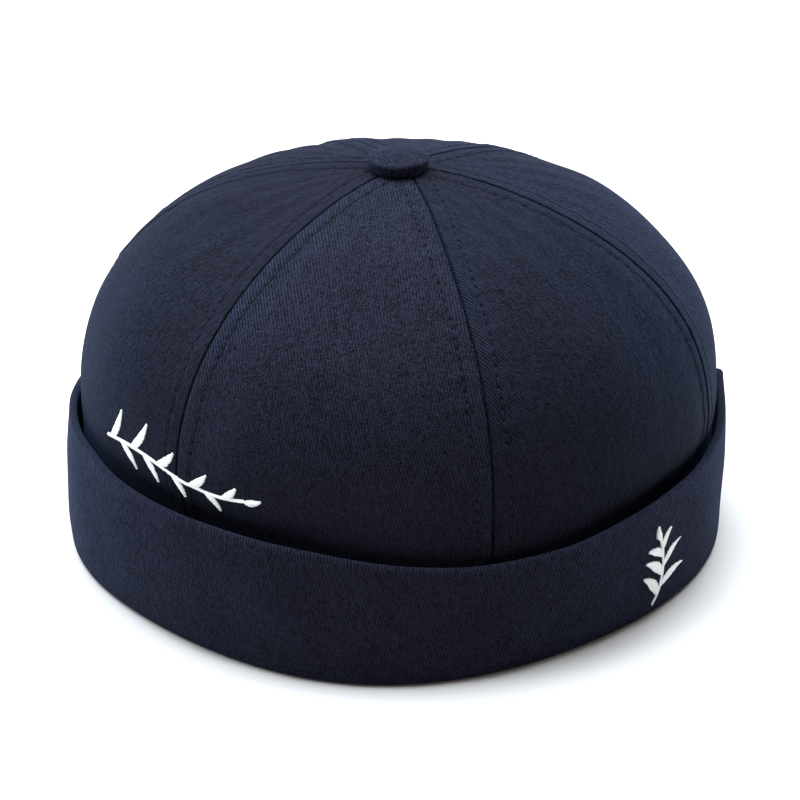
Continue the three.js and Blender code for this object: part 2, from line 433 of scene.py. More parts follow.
def twill(name, ridge, stitched):
    """A cotton twill, from a painted shade between the wales to the ridge colour on them.

    The tone is a sum of floats, broad mottle, fine lint, coarser fuzz and wear with a painted
    highlight, and it rules the colour and the sheen. A stitched twill also paints shade: over each
    gore and deeper in its tucks, in the groove of each seam and in the needle holes.
    """
    n = Nodes(name)
    place = n.place()
    # real wear and painted highlight: the wales stand out more along the seams and the rim's crest
    worn = n.value_of("worn")
    crisp = n.between(n.noise(place, 60.0, 2.0), 0.36, 0.62, 0.60, 1.15)
    crisp = n.math("MULTIPLY_ADD", worn, 2.5, crisp)
    floats = n.math("MULTIPLY", n.math("SUBTRACT", twill_floats(n, n.cloth()), 0.45), crisp)
    mottle = n.math("SUBTRACT", n.noise(place, 55.0, 3.0, 0.6), 0.5)
    lint = n.math("SUBTRACT", n.noise(place, 2300.0, 1.0, 0.6), 0.5)
    fuzz = n.math("SUBTRACT", n.noise(place, 800.0, 2.0, 0.7), 0.5)
    fuzz = n.math("MULTIPLY", fuzz, n.between(n.part(place, "Z"), 0.055, 0.095, 0.6, 1.3))
    tone = n.math("MULTIPLY_ADD", lint, 2.6, n.math("MULTIPLY_ADD", mottle, 0.35, floats))
    # the same wear and painted highlight lighten the tone
    tone = n.math("MULTIPLY_ADD", worn, 0.22, n.math("MULTIPLY_ADD", fuzz, 1.3, tone))
    # painted shade: the lowest tone, between the wales, takes the hollow colour
    colour = n.mix(n.between(tone, -0.70, 0.90), PAINTED_HOLLOW_SHADE, ridge)
    speck = n.between(n.noise(place, 1900.0, 1.0), 0.69, 0.80)
    colour = n.mix(speck, colour, FIBRE_END)
    haze = n.between(tone, -0.9, 1.1, 0.1 * SHEEN, 1.9 * SHEEN)
    if stitched:
        # painted shade: colour drawn towards the dark hollow colour, and sheen lowered, by gore and in
        # tucks
        painted_shade = n.value_of("painted_shade")
        colour = n.mix(painted_shade, PAINTED_HOLLOW_SHADE, colour)
        haze = n.math("MULTIPLY", haze, painted_shade)
        # painted shade: the cloth within 0.8 mm of a seam is darkened into its groove
        colour = n.mix(n.between(n.value_of("seam"), 0.1, 0.8), darker(PAINTED_HOLLOW_SHADE, 0.35), colour)
        # painted shade in the needle holes
        colour = n.mix(n.math("MULTIPLY", n.value_of("hole"), 0.6), colour, HOLE_PAINTED_SHADE)
    relief = n.math("MULTIPLY_ADD", fuzz, 3.0, n.math("MULTIPLY_ADD", lint, 2.0, floats))
    bump = n.add("ShaderNodeBump", Strength=1.0, Distance=YARN_RELIEF, Height=relief)
    n.shade(Base_Color=colour, Normal=bump, Roughness=0.85, Specular_IOR_Level=0.05)
    n.shade(Sheen_Weight=haze, Sheen_Roughness=0.45, Sheen_Tint=SHEEN_TINT)
    return n.material


# painted shade: the dark inside a needle hole
HOLE_PAINTED_SHADE = rgb(0.0008, 0.0008, 0.0012)
SHEEN_TINT = rgb(0.25, 0.45, 1.0)
SHEEN = 0.065
# painted shade: the hollows between the wales, far darker than the ridges
PAINTED_HOLLOW_SHADE = rgb(0.0007, 0.0007, 0.0014)
NAVY_RIDGE = rgb(0.0122, 0.0115, 0.0222)
FIBRE_END = rgb(0.026, 0.028, 0.046)
# painted light: the crown's ridge colour made about 12% lighter, for the top light on the button
BUTTON_RIDGE_PAINTED_LIGHT = rgb(0.0136, 0.0130, 0.0250)
# painted light: the crown's ridge colour made about 8% lighter, for light the cuff's lower front lacks
CUFF_RIDGE_PAINTED_LIGHT = rgb(0.0132, 0.0124, 0.0240)
crown_twill = twill("navy twill", NAVY_RIDGE, stitched=True)
cuff_twill = twill("cuff twill", CUFF_RIDGE_PAINTED_LIGHT, stitched=False)
button_twill = twill("button twill", BUTTON_RIDGE_PAINTED_LIGHT, stitched=False)
print("cloth finishes:", [material.name for material in (crown_twill, cuff_twill, button_twill)])

# %% [markdown]
# ## The six gores
# Each gore is a tall leaf of twill. Along both edges its seam allowance is pressed open and
# held by a row of topstitching about five millimetres from the seam, so the strip between seam
# and stitches stands a little proud, the row itself is drawn into a valley, and the cloth
# puckers softly across it. Low down, the crown dives behind the rim of the cuff, and broad
# tucks press it in there. The columns of the grid crowd towards the seams, where most of this
# happens, and spread out over the plain middle.

# %% Soft shapes, rows and swells
ROW_OFFSET = 4.8 * MM
STITCH_PITCH = 3.0 * MM


def smooth_between(value, low, high):
    """0 below low, 1 above high, and a smooth S between them."""
    share = np.clip((value - low) / (high - low), 0, 1)
    return share * share * (3 - 2 * share)


def bell(value, reach):
    """1 at 0 and less on both sides: the exponential of minus the square of value over reach."""
    return np.exp(-((value / reach) ** 2))


def row_offset(along, seam_number, side):
    """How far a topstitch row runs from its seam: a hand on the machine lets it wander."""
    phase = 1.7 * seam_number + 2.9 * side
    wander = 0.22 * MM * np.sin(along / (9.0 * MM) + phase)
    return ROW_OFFSET + wander + 0.1 * MM * np.sin(along / (3.7 * MM) + 2 * phase)


draw = np.random.default_rng(11)
SWELL_DIRECTION = unit(draw.normal(size=(9, 3)))
SWELL_LENGTH = draw.uniform(30, 62, 9) * MM
SWELL_PHASE = draw.uniform(0, TAU, 9)


def swell(points):
    """Soft hollows and fullness of unlined cloth: a sum of nine long waves that cross each other."""
    phase = points @ (SWELL_DIRECTION / SWELL_LENGTH[:, None] * TAU).T + SWELL_PHASE
    return np.sin(phase).sum(axis=-1) / 3.2


def needle_holes(along, from_row):
    """1 in a needle hole and 0 away from it: a bell across the row times a sharp beat along it."""
    beat = np.exp(7 * (np.cos(TAU * along / STITCH_PITCH) - 1))
    return beat * bell(from_row, 0.42 * MM)


print("swell waves, mm:", np.round(SWELL_LENGTH / MM, 1))

# %% Edges of a gore
BUTTON_RADIUS = 8.9 * MM
MEETING_POINT = np.array([2.3, 2.1]) * MM


def gore_edges(number, along):
    """Turns of a gore's two seams at a length from the apex.

    The six points never meet quite under the button. The meeting point lies aside by
    MEETING_POINT, so each seam drifts sideways by that much near the top, and the drift dies
    out down the cap as a bell.
    """
    reach = np.maximum(crown_base(SEAM_START[number], along)[0], BUTTON_RADIUS)
    fade = bell(along, 44 * MM) / reach
    edges = []
    for seam in (SEAM_START[number], SEAM_STOP[number]):
        aside = MEETING_POINT[0] * np.cos(seam) + MEETING_POINT[1] * np.sin(seam)
        edges.append(seam + aside * fade)
    return edges


def seam_distances(number, turn, along):
    """Distance to the nearer seam, half of the gore's width there, and which side is nearer."""
    radius = crown_base(turn, along)[0]
    start, stop = gore_edges(number, along)
    left, right = radius * (turn - start), radius * (stop - turn)
    return np.minimum(left, right), (left + right) / 2, (left > right).astype(int)


print("width of gore 1, 110 mm down, mm:", round(float(2 * seam_distances(0, 0.5, 110 * MM)[1]) / MM, 1))

# %% Blocking, and wear with a painted highlight
BLOCKING = [
    # turn, length from the apex in mm, reach round in degrees, reach along in mm, lift in mm
    (-125, 55, 38, 30, 1.5),
    (130, 55, 26, 24, 1.4),
    (172, 30, 30, 20, -1.1),
    (178, 50, 14, 24, 1.2),
    (145, 52, 14, 24, -1.2),
    (-147, 58, 18, 22, -0.5),
    (100, 76, 24, 26, 0.6),
    (80, 100, 24, 26, 0.5),
]
TUCKS = [
    # the same columns: where the crown dives behind the rim of the cuff
    (-10, 136, 34, 11, -0.6),
    (-58, 136, 25, 10, -4.1),
    (43, 139, 22, 7.5, -3.1),
]


def blocking(turn, along, rows=tuple(BLOCKING + TUCKS)):
    """Broad swells and flats of the cap as it was pressed: a sum of bells, one for each row."""
    total = 0
    for place, down, reach, span, lift in rows:
        aside = np.degrees(wrapped(turn - np.radians(place)))
        total = total + lift * MM * bell(aside, reach) * bell(along / MM - down, span)
    return total


def seam_wear_and_highlight(distance, along, side):
    """How far the wales are brushed up, and lit with a painted highlight on the raised strip: a bell
    off the seam, wider on the gore after it.
    """
    reach = np.where(side == 0, 9.0, 5.0) * MM
    amount = np.where(side == 0, 1.0, 0.35)
    return amount * bell(distance, reach) * bell(along - 62 * MM, 34 * MM)


print("deepest tuck, mm:", min(row[-1] for row in TUCKS))

# %% Relief of a gore
SEWN_HALF_WIDTH = (5.2 * MM, 6.4 * MM)
PAD_LIFT = (0.42 * MM, 0.26 * MM)
VALLEY_DEPTH = 0.26 * MM
HOLE_DEPTH = 0.38 * MM
PUCKER_LIFT = 0.085 * MM
FULLNESS = 0.7 * MM
SWELL_LIFT = 0.5 * MM
SPOKE_LIFT = 0.16 * MM
ROLL_WIDTH = 0.7 * MM
ROLL_DEPTH = 1.0 * MM


def gore_relief(number, turn, along, with_roll=True):
    """How far the face stands off the smooth crown.

    It is a sum: the pad of the seam allowance, the stitches' valley and holes, the puckers across
    the row, the gore's fullness, soft swells, faint spokes below the button and the blocking. The
    edge that rolls into the seam is a quarter circle taken off it.
    """
    distance, half, side = seam_distances(number, turn, along)
    seam_number = (number + side) % 6
    from_row = distance - row_offset(along, seam_number, side)
    sewn = smooth_between(half, *SEWN_HALF_WIDTH)
    pad = np.where(side == 0, *PAD_LIFT) * smooth_between(along, 4 * MM, 30 * MM)
    lift = pad * (1 - smooth_between(from_row, -0.2 * MM, 2.2 * MM)) * sewn
    valley = -VALLEY_DEPTH * bell(from_row, 0.8 * MM) * sewn
    valley = valley - HOLE_DEPTH * needle_holes(along, from_row) * sewn
    phase = 2.3 * seam_number + 1.1 * side
    ripple = np.sin(along / (1.05 * MM) + phase) + 0.8 * np.sin(along / (1.55 * MM) + 2.6 * phase)
    ripple = ripple + 0.7 * np.sin(along / (2.3 * MM) + 1.3 * phase)
    pucker = PUCKER_LIFT * ripple * bell(from_row, 3.4 * MM) * sewn
    height = crown_base(turn, along)[1]
    free = smooth_between(height, 34 * MM, 62 * MM)
    open_cloth = free * smooth_between(along, 16 * MM, 55 * MM)
    full = FULLNESS * np.sin(np.pi * np.clip(distance / (2 * half), 0, 1)) * open_cloth
    points = cylindrical(turn, *crown_base(turn, along))
    soft = SWELL_LIFT * swell(points) * (0.25 + 0.75 * open_cloth)
    soft = soft * smooth_between(distance, 0, 14 * MM)
    spoke = np.sin(turn * 31 + 0.7) * bell(along - 42 * MM, 26 * MM)
    spoke = SPOKE_LIFT * spoke * smooth_between(distance, 3 * MM, 12 * MM)
    relief = lift + valley + pucker + full + soft + spoke + blocking(turn, along)
    if with_roll:
        edge = np.clip(1 - distance / ROLL_WIDTH, 0, 1)
        relief = relief - ROLL_DEPTH * (1 - np.sqrt(1 - edge**2))
    return relief


def crown_surface(number, turn, along, with_roll=True):
    """Points and normals of a gore's face, as the smooth crown plus the gore's relief."""
    points, normals = smooth_crown(turn, along)
    return points + normals * gore_relief(number, turn, along, with_roll)[..., None], normals


print("fullest relief 80 mm down gore 1, mm:",
      round(float(gore_relief(0, np.linspace(0.1, 0.9, 50), 80 * MM).max()) / MM, 2))

# %% Grid and cloth map of a gore
ROWS_PER_STITCH = 4
HALF_COLUMNS = 53
FINE_SHARE = 0.55
FINE_WIDTH = 8.5 * MM
SEAM_GAP = 0.04 * MM


def gore_grid(number):
    """Turn and length of each grid point: even steps down, and steps across that crowd to the seams."""
    row_step = STITCH_PITCH / ROWS_PER_STITCH
    along = np.arange(np.ceil(EYE_LENGTH / row_step), MERIDIAN_LENGTH / row_step)[:, None] * row_step
    start, stop = gore_edges(number, along)
    middle, half_turn = (start + stop) / 2, (stop - start) / 2
    half_width = crown_base(middle, along)[0] * half_turn
    step = np.linspace(0, 1, HALF_COLUMNS)[None, :]
    fine = np.minimum(FINE_WIDTH / half_width, FINE_SHARE)
    near = fine * (step / FINE_SHARE) ** 1.35
    far = fine + (1 - fine) * (step - FINE_SHARE) / (1 - FINE_SHARE)
    least = SEAM_GAP / 2 / half_width
    share = least + (1 - least) * np.where(step < FINE_SHARE, near, far)
    left = middle - half_turn * (1 - share)
    right = middle + half_turn * (1 - share[:, -2::-1])
    turn = np.concatenate([left, right], axis=1)
    return turn, np.broadcast_to(along, turn.shape)


def gore_map(number, turn, along):
    """Where each point lies on the flat cloth, in metres: the gore is unrolled band by band.

    The cone that touches the crown along a parallel opens flat with a radius r / (dr/ds), so a
    point that lies an angle off the middle goes to that angle times dr/ds on an arc.
    """
    middle = (SEAM_START[number] + SEAM_STOP[number]) / 2
    radius = crown_base(turn, along)[0]
    slope = (crown_base(turn, along + 0.5 * MM)[0] - crown_base(turn, along - 0.5 * MM)[0]) / MM
    offset = turn - middle
    angle = np.where(np.abs(offset * slope) < 1e-6, 1e-6, offset * slope)
    across = radius * offset * np.sin(angle) / angle
    down = along - radius * offset * (1 - np.cos(angle)) / angle
    return np.stack([across + 0.21 * number, down], axis=-1)


print("grid of a gore, rows and columns:", gore_grid(0)[0].shape)

# %% Make the gores
# Each gore's colour and sheen are dimmed by a share of its own, painted shade for how much light
# the gore catches, and dimmed further in the tucks behind the rim, as painted shadow.
GORE_PAINTED_SHADE = [0.72, 0.94, 1.0, 0.84, 0.76, 1.0]
TUCK_PAINTED_SHADE_DEPTH = 4.5 * MM
CLOTH_THICKNESS = 1.4 * MM
gores, thinnest = [], []
for number, node in enumerate(CROWN_NODES):
    turn, along = gore_grid(number)
    face, normals = crown_surface(number, turn, along)
    smooth, _ = smooth_crown(turn, along)
    wrong = smooth + normals * (np.minimum(blocking(turn, along), 0) - CLOTH_THICKNESS)[..., None]
    distance, half, side = seam_distances(number, turn, along)
    holes = needle_holes(along, distance - row_offset(along, (number + side) % 6, side))
    holes = holes * smooth_between(half, *SEWN_HALF_WIDTH)
    # painted shade: the gore's share, and painted shadow deeper where a tuck presses in behind the rim
    painted_shade = GORE_PAINTED_SHADE[number] * np.exp(blocking(turn, along, TUCKS) / TUCK_PAINTED_SHADE_DEPTH)
    # wear with a painted highlight on the raised strip beside each seam
    worn = seam_wear_and_highlight(distance, along, side)
    values = {"seam": distance / MM, "hole": holes, "worn": worn, "painted_shade": painted_shade}
    cloth_map = gore_map(number, turn, along)
    gore = make_shell(f"gore_{number + 1}", face, wrong, cloth_map, material=crown_twill, **values)
    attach(gore, "root")
    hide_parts(node)
    gores.append(gore)
    thinnest.append(float(((face - wrong) * normals).sum(axis=-1).min()) / MM)
print("gore faces:", [len(gore.data.polygons) for gore in gores])
print("thinnest cloth, mm:", np.round(thinnest, 2))

# %% [markdown]
# ## The turned-up cuff
# The cuff is one long band of the same twill. It starts inside the head opening as a hem, runs
# flat under the crown's edge, folds up round the outside, rolls over at the rim and comes back
# down behind its own face. That route is a profile in radius and height, worked out at each
# direction round the cap, and the band's two sides lie half a thickness off it.

# %% The cuff's route
BAND_THICKNESS = 1.1 * MM
HALF_BAND = BAND_THICKNESS / 2
HEM_TOP = 14 * MM
HEM_CLEARANCE = 0.4 * MM
HEM_BEND = 1.1 * MM
HEM_ROWS = 8
BEND_ROWS = 6
BASE_ROWS = 4
BELLY = 0.6 * MM
LAYERS_APART = CUFF_WALL - BAND_THICKNESS
MEAN_RADIUS = 96 * MM


def skirt_radius(turn, height):
    """Radius of the crown's face below its widest level, drawn in where the crown was pressed in."""
    fall = np.clip((CROWN_WIDEST - height) / (CROWN_WIDEST - TOE_HEIGHT), 0, None)
    along = np.interp(-height, -MERIDIAN[3], MERIDIAN[0])
    return crown_radius(turn) - TOE_INSET * fall**2 + np.minimum(blocking(turn, along), 0)


def arc(centre_radius, centre_height, radius, start, stop, steps):
    """A bend of the route: angles in degrees, 0 pointing outwards and 90 up, in equal steps."""
    angle = np.radians(np.linspace(start, stop, steps))[:, None]
    return centre_radius + radius * np.cos(angle), centre_height + radius * np.sin(angle)


def outer_leg(turn, share):
    """Middle of the outer layer from the fold, share 0, to the rim, share 1, with a slight belly."""
    low, high = FOLD_ROUND, rim_height(turn) - CUFF_WALL / 2
    radius = fold_radius(turn) + (rim_radius(turn) - fold_radius(turn)) * share
    return radius - HALF_BAND + BELLY * 4 * share * (1 - share), low + (high - low) * share


def cuff_route(turn):
    """Radius and height of the band's middle, row by row from the inner hem to its hidden end."""
    turn = turn[None, :]
    hem_height = np.linspace(HEM_TOP, HALF_BAND + HEM_BEND, HEM_ROWS)[:, None]
    hem = skirt_radius(turn, hem_height) - CROWN_WALL - HEM_CLEARANCE - HALF_BAND
    turned = arc(hem[-1] + HEM_BEND, HALF_BAND + HEM_BEND, HEM_BEND, 180, 270, BEND_ROWS)
    base_share = np.linspace(0, 1, BASE_ROWS + 2)[1:-1, None]
    fold_centre = fold_radius(turn) - FOLD_ROUND
    base = turned[0][-1] + (fold_centre - turned[0][-1]) * base_share
    fold = arc(fold_centre, FOLD_ROUND, FOLD_ROUND - HALF_BAND, -90, 0, 7)
    leg_share = np.linspace(0, 1, 25)[1:-1, None]
    leg = outer_leg(turn, leg_share)
    roll_centre = rim_radius(turn) - CUFF_WALL / 2
    roll = arc(roll_centre, rim_height(turn) - CUFF_WALL / 2, LAYERS_APART / 2, 0, 180, 10)
    back_share = np.linspace(1, 0.06, 12)[1:, None]
    back = outer_leg(turn, back_share)
    parts = [
        (hem, hem_height + 0 * turn),
        (turned[0][1:], turned[1][1:] + 0 * turn),
        (base, HALF_BAND + 0 * base),
        (fold[0], fold[1] + 0 * turn),
        leg,
        roll,
        (back[0] - LAYERS_APART, back[1]),
    ]
    return [np.concatenate(rows) for rows in zip(*parts)]


def cuff_waves(turn, height):
    """Slight hand-pressed unevenness of the standing band: a sum of three slanted waves."""
    around = turn * MEAN_RADIUS
    waves = np.sin(around / (7.3 * MM) + height / (11 * MM))
    waves = waves + np.sin(around / (11.7 * MM) - height / (8 * MM) + 2)
    waves = waves + 0.7 * np.sin(around / (4.6 * MM) + 1 + height / (14 * MM))
    standing = smooth_between(height, 2 * MM, 14 * MM)
    return 0.16 * MM * waves * standing


print("rows of the cuff's route:", len(cuff_route(np.zeros(1))[0]))

# %% Ease of the band, loosened with use
EASE_ROWS = np.array([
    # turn, how far the rim, the middle of the band and the fold ease outwards in mm
    (0, 0.3, 0.4, -0.6), (30, 0.2, 0.3, -0.6), (60, 0.0, 0.2, 0.2), (90, 0.0, 0.3, 0.6),
    (120, 0.2, 0.5, 0.2), (150, 0.4, 0.6, 0.2), (180, 0.4, 0.6, 0.2), (210, 0.4, 0.6, 0.2),
    (240, 0.3, 1.0, 0.3), (270, 0.1, 1.0, 0.6), (300, 0.3, 0.8, -0.7), (330, 0.4, 0.6, -0.6),
])
ease_turn = np.radians(EASE_ROWS[:, 0])
rim_ease, band_ease, fold_ease = (closed_curve(ease_turn, mm * MM) for mm in EASE_ROWS[:, 1:].T)


def ease(turn, height):
    """How far cloth loosened with use stands outwards of the packed plan.

    The fold's ease passes into the band's over the lowest 9 mm, and the band's into the rim's
    over the highest 15 mm.
    """
    low = smooth_between(height, 0, 9 * MM)
    high = smooth_between(rim_height(turn) - height, 15 * MM, 0)
    return fold_ease(turn) * (1 - low) + (band_ease(turn) * (1 - high) + rim_ease(turn) * high) * low


print("ease at the front, middle of the band, mm:", round(float(band_ease(0.0)) / MM, 2))

# %% The band's seam and crease
CUFF_SEAM = np.radians(184.0)
CUFF_COLUMNS = 660
SEAM_REACH = 5 * MM
SEAM_EDGE = 0.9 * MM
SEAM_DEPTH = 0.75 * MM
CREASE_TURN = np.radians(82.5)


def cuff_columns():
    """Turns of the columns from the seam at the back round to it again, crowded beside it."""
    reach = SEAM_REACH / MEAN_RADIUS
    crowd = reach * np.linspace(0, 1, 18) ** 1.7
    plain = np.linspace(reach, TAU - reach, CUFF_COLUMNS)[1:-1]
    return CUFF_SEAM + np.concatenate([crowd, plain, TAU - crowd[:0:-1]])


def crease(turn):
    """The crease that flat packing left at the side, as shares of its ridge and of the sunk rim.

    The ridge rises as an exponential over 6 degrees and falls off over 3. The rim sinks over the
    8 degrees behind it, and comes back between 12 and 45 degrees.
    """
    past = np.degrees(wrapped(turn - CREASE_TURN))
    ridge = np.exp(-np.abs(past) / np.where(past < 0, 6.0, 3.0))
    sunk = smooth_between(past, -0.5, 7.5) * (1 - smooth_between(past, 12, 45))
    return ridge, sunk


def cuff_relief(turn, height):
    """Two offsets of the band: the rolled-in seam at the back, and the standing cloth's relief."""
    from_seam = np.abs(wrapped(turn - CUFF_SEAM)) * MEAN_RADIUS
    edge = np.clip(1 - from_seam / SEAM_EDGE, 0, 1)
    roll = -SEAM_DEPTH * (1 - np.sqrt(1 - edge**2))
    press = 0.12 * MM * (1 - smooth_between(from_seam, 3.5 * MM, 5 * MM))
    return roll, cuff_waves(turn, height) + press + ease(turn, height)


print("columns round the cuff:", len(cuff_columns()))

# %% Make the cuff
RIDGE_OUT = 2.3 * MM
RIDGE_UP = 1.3 * MM
RIM_SINK = 3.4 * MM
cuff_turn = cuff_columns()
route_radius, route_height = cuff_route(cuff_turn)
route_row = np.arange(len(route_radius))[:, None]
turn_grid = np.broadcast_to(cuff_turn[None, :], route_radius.shape)
outer_rows = route_row >= HEM_ROWS + BEND_ROWS - 1 + BASE_ROWS
room = np.clip((rim_radius(cuff_turn) - CUFF_WALL - crown_radius(cuff_turn)) / (1.4 * MM), 0, 1)
calm = 1 - (1 - room[None, :]) * smooth_between(route_height, 20 * MM, 34 * MM)
roll, waves = cuff_relief(turn_grid, route_height)
ridge, sunk = crease(cuff_turn)
upper = np.where(outer_rows, smooth_between(route_height, 12 * MM, 38 * MM), 0)
route_radius = route_radius + np.where(outer_rows, waves * calm, 0) + RIDGE_OUT * ridge * upper
route_height = route_height + (RIDGE_UP * ridge - RIM_SINK * sunk) * upper
# wear with a painted highlight along the crest of the rim, where the top light falls
rim_wear_and_highlight = np.where(outer_rows, 0.35 * bell(rim_height(cuff_turn) - route_height, 2.0 * MM), 0)
middle = cylindrical(turn_grid, route_radius, route_height)
ahead = np.gradient(middle, axis=0)
beside = np.roll(middle, -1, axis=1) - np.roll(middle, 1, axis=1)
inward = unit(np.cross(ahead, beside))
dip = np.where(outer_rows, roll, 0)[..., None]
face = middle - inward * (HALF_BAND + dip)
wrong = middle + inward * HALF_BAND
face[..., 2] = np.maximum(face[..., 2], 0)
steps = np.linalg.norm(np.diff(middle, axis=0), axis=-1).mean(axis=1)
route_length = np.append(0, np.cumsum(steps))
around = np.append(cuff_turn, CUFF_SEAM + TAU)[None, :] * MEAN_RADIUS
cuff_uv = np.stack(np.broadcast_arrays(around, -route_length[:, None]), axis=-1)
# The outer layer's rows run upwards, so the sides change places to keep the shell's faces outwards.
turned_cuff = make_shell("turned_cuff", wrong, face, cuff_uv, True, cuff_twill, worn=rim_wear_and_highlight)
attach(turned_cuff, "root")
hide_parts("cuff")
print("cuff band: 600 by", round(float(route_length[-1]) / MM, 1), "mm")
print("cuff faces:", len(turned_cuff.data.polygons))

# %% [markdown]
# ## The covered button
# A disc of twill is drawn over a domed blank and gathered behind it. The form is a profile spun
# round the apex: a short shank through the crown's eye, a flat back, a soft edge and a low
# dome. The gathers are small waves in the edge that die out before the top.

# %% Profile of the button
BUTTON_TOP = 118.0 * MM
BUTTON_SIDE = 3.7 * MM
SHANK_RADIUS = 3.9 * MM
BACK_ROUND = 0.8 * MM
EDGE_ROUND = 1.1 * MM


def dome_height(radius):
    """Height of the smooth crown at a radius from the apex, in the direction of the front."""
    share = np.clip(radius / crown_radius(0.0), 0, 1)
    return CROWN_WIDEST + (CROWN_TOP - CROWN_WIDEST) * (1 - share**BULGE_OUT) ** (1 / BULGE_UP)


def button_profile():
    """Radius and height from the shank's end up over the edge to the top of the dome."""
    back = dome_height(BUTTON_RADIUS - 1.2 * MM) + 0.35 * MM
    shank_end = dome_height(SHANK_RADIUS) - CROWN_WALL
    shank = [
        (0.0, shank_end - 0.3 * MM),
        (0.7 * SHANK_RADIUS, shank_end - 0.25 * MM),
        (SHANK_RADIUS, shank_end),
        (SHANK_RADIUS, dome_height(SHANK_RADIUS) + 0.3 * MM),
        (6 * MM, dome_height(6 * MM) + 0.35 * MM),
    ]
    bends = BUTTON_RADIUS - EDGE_ROUND
    low = np.hstack(arc(bends, back + BACK_ROUND, BACK_ROUND, -90, 0, 8))
    edge = np.hstack(arc(bends, back + BUTTON_SIDE - EDGE_ROUND, EDGE_ROUND, 0, 68, 10))
    share = np.linspace(1, 0, 22)[1:]
    rise = BUTTON_TOP - edge[-1, 1]
    crown = np.stack([edge[-1, 0] * share, edge[-1, 1] + rise * (1 - share**2.2)], 1)
    profile = np.concatenate([np.array(shank), low, edge, crown])
    profile[-1, 0] = 0
    return profile[:, 0], profile[:, 1]


print("points of the button's profile:", len(button_profile()[0]))

# %% Make the button
GATHERS = 19
BUTTON_COLUMNS = 144


def make_button():
    """Spin the profile, with gathers in the edge: waves round it times a bell over its height."""
    radius, height = button_profile()
    turn = np.arange(BUTTON_COLUMNS) / BUTTON_COLUMNS * TAU
    low = height[4]
    gathered = bell(height - low - 1.2 * MM, 1.3 * MM) * (radius > 6.5 * MM)
    wave = np.sin(GATHERS * turn + 0.6 * np.sin(3 * turn)) + 0.5 * np.sin(7 * turn + 1)
    spread = radius[:, None] + 0.10 * MM * gathered[:, None] * wave
    top = smooth_between(height, low + 1.5 * MM, BUTTON_TOP)[:, None]
    lumps = 0.10 * MM * top * (np.sin(3 * turn + 0.5) + 0.7 * np.sin(5 * turn))
    lumps = lumps * np.clip(radius[:, None] / BUTTON_RADIUS, 0, 1)
    points = cylindrical(turn[None, :], spread, height[:, None] + lumps)
    inner = points[1:-1]
    rows = len(inner)
    i, j = grid_corners(rows, BUTTON_COLUMNS, True)
    faces = (i * BUTTON_COLUMNS + j % BUTTON_COLUMNS)[:, ::-1]
    fan = fan_corners(BUTTON_COLUMNS)
    pole = rows * BUTTON_COLUMNS
    under = np.insert(fan[:, ::-1], 3, pole, axis=1)
    over = np.insert(fan + pole - BUTTON_COLUMNS, 3, pole + 1, axis=1)
    faces = np.concatenate([faces, under, over])
    flat = np.concatenate([inner.reshape(-1, 3), points[0, :1], points[-1, :1]])
    slope = np.append(0, np.cumsum(np.hypot(np.diff(radius[::-1]), np.diff(height[::-1]))))[::-1]
    reach = np.concatenate([np.repeat(slope[1:-1], BUTTON_COLUMNS), [slope[0], slope[-1]]])
    heading = np.concatenate([np.tile(turn, rows), [0, 0]])
    uv = np.stack([reach * np.sin(heading), reach * np.cos(heading)], 1)
    return make_piece("button_cover", flat, faces, uv[faces], button_twill)


button_cover = make_button()
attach(button_cover, "root")
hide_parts("button")
print("button faces:", len(button_cover.data.polygons))

# %% [markdown]
# ## Thread
# Topstitches and embroidery are both thread lying on cloth. One thread is a short tube of a few
# rings whose ends dive into the cloth. All threads of a row or a motif are made at once: every
# centre line is a row of an array, and the rings are swept along them together.

# %% Sweep many short threads
RING_SIDES = 6


def sweep_threads(name, lines, normals, half_width, half_height, material):
    """Tubes along many short lines: a flattened ring stands round each point of each line.

    lines and normals have a thread, a point and x, y, z as axes. A ring's point is the centre
    plus half_width times the cosine sideways and half_height times the sine along the normal.
    """
    count, rings = lines.shape[:2]
    axis = unit(np.gradient(lines, axis=1))
    sideways = unit(np.cross(normals, axis))
    upward = np.cross(axis, sideways)
    angle = np.arange(RING_SIDES) / RING_SIDES * TAU
    taper = np.ones(rings)
    taper[[0, -1]] = 0.6
    spread = taper[None, :, None, None] * np.cos(angle)[None, None, :, None] * half_width
    lift = taper[None, :, None, None] * np.sin(angle)[None, None, :, None] * half_height
    points = lines[:, :, None] + sideways[:, :, None] * spread + upward[:, :, None] * lift
    i, j = grid_corners(rings, RING_SIDES, True)
    one = i * RING_SIDES + j % RING_SIDES
    first = np.array([[0, 1, 2, 3], [0, 3, 4, 5]])
    last = first[:, ::-1] + (rings - 1) * RING_SIDES
    one = np.concatenate([one[:, ::-1], first[:, ::-1], last[:, ::-1]])
    faces = (one[None] + np.arange(count)[:, None, None] * rings * RING_SIDES).reshape(-1, 4)
    run = np.linspace(0, 1, rings)[:, None] + np.zeros(RING_SIDES)
    turn = np.arange(RING_SIDES) / RING_SIDES + np.zeros((rings, 1))
    uv = np.tile(np.stack([turn, run], -1).reshape(-1, 2), (count, 1))
    return make_piece(name, points.reshape(-1, 3), faces, uv[faces], material)


print("sides of a thread:", RING_SIDES)

# %% Two threads
TWISTS = 7.0


